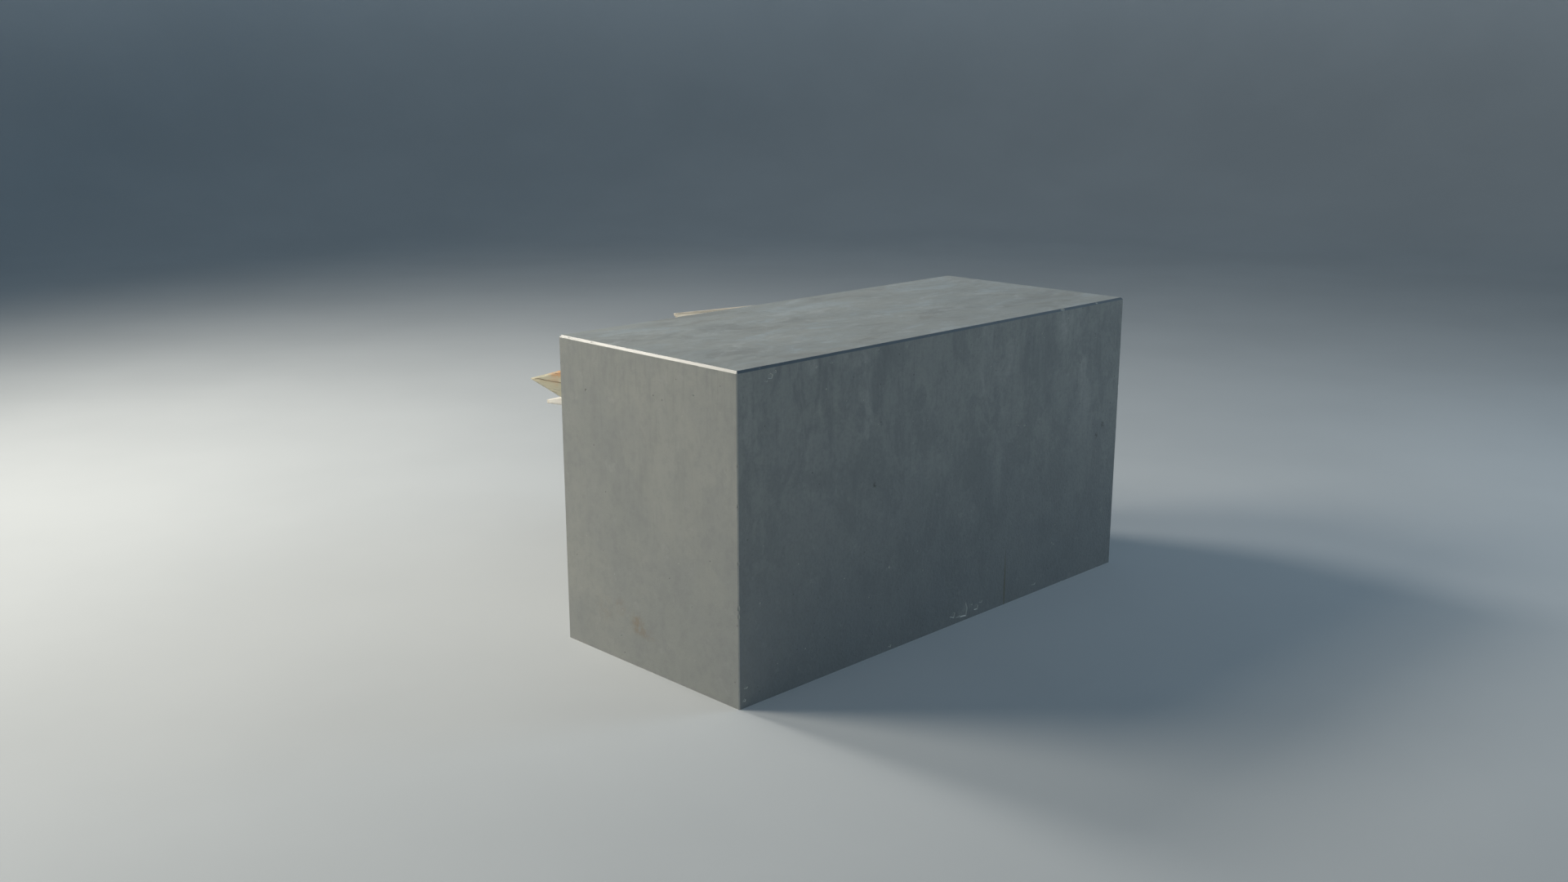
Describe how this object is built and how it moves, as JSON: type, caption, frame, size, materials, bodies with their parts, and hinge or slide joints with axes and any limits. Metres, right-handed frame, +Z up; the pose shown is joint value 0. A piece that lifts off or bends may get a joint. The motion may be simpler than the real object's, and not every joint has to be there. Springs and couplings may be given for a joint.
{
  "type": "vertical-faced concrete barrier block with timber stakes",
  "caption": "Plain rectangular precast concrete road barrier block with chamfered top edges; sharpened timber stakes are bolted to posts on its rear face.",
  "frame": {"origin": "centre of the concrete block's underside, on the road surface", "axes": "+Z up; +X along the block; +Y towards the rear, where the stakes point; the plain long face looks along -Y"},
  "size_m": [1.9, 1.5306, 1],
  "materials": {
    "concrete": "matt cast concrete",
    "reinforcing_steel": "mill scale with light rust",
    "zinc_plated_steel": "dull zinc",
    "post_timber": "sawn, weathered",
    "stake_timber": "sawn, weathered",
    "pale_stake_timber": "sawn, fresh"
  },
  "bodies": {
    "root": {"concrete_block": "concrete", "corner_bars": "reinforcing_steel", "side_bars": "reinforcing_steel", "stirrups": "reinforcing_steel", "cast_in_sockets": "zinc_plated_steel", "post_bolts": "zinc_plated_steel", "plate_washers": "zinc_plated_steel", "stake_bolts": "zinc_plated_steel", "stake_washers": "zinc_plated_steel", "stake_nuts": "zinc_plated_steel", "post_left": "post_timber", "post_middle": "post_timber", "post_right": "post_timber", "stake_left_upper": "stake_timber", "stake_left_lower": "pale_stake_timber", "stake_middle_upper": "stake_timber", "stake_middle_lower": "stake_timber", "stake_right_upper": "stake_timber", "stake_right_lower": "pale_stake_timber"}
  },
  "joints": []
}
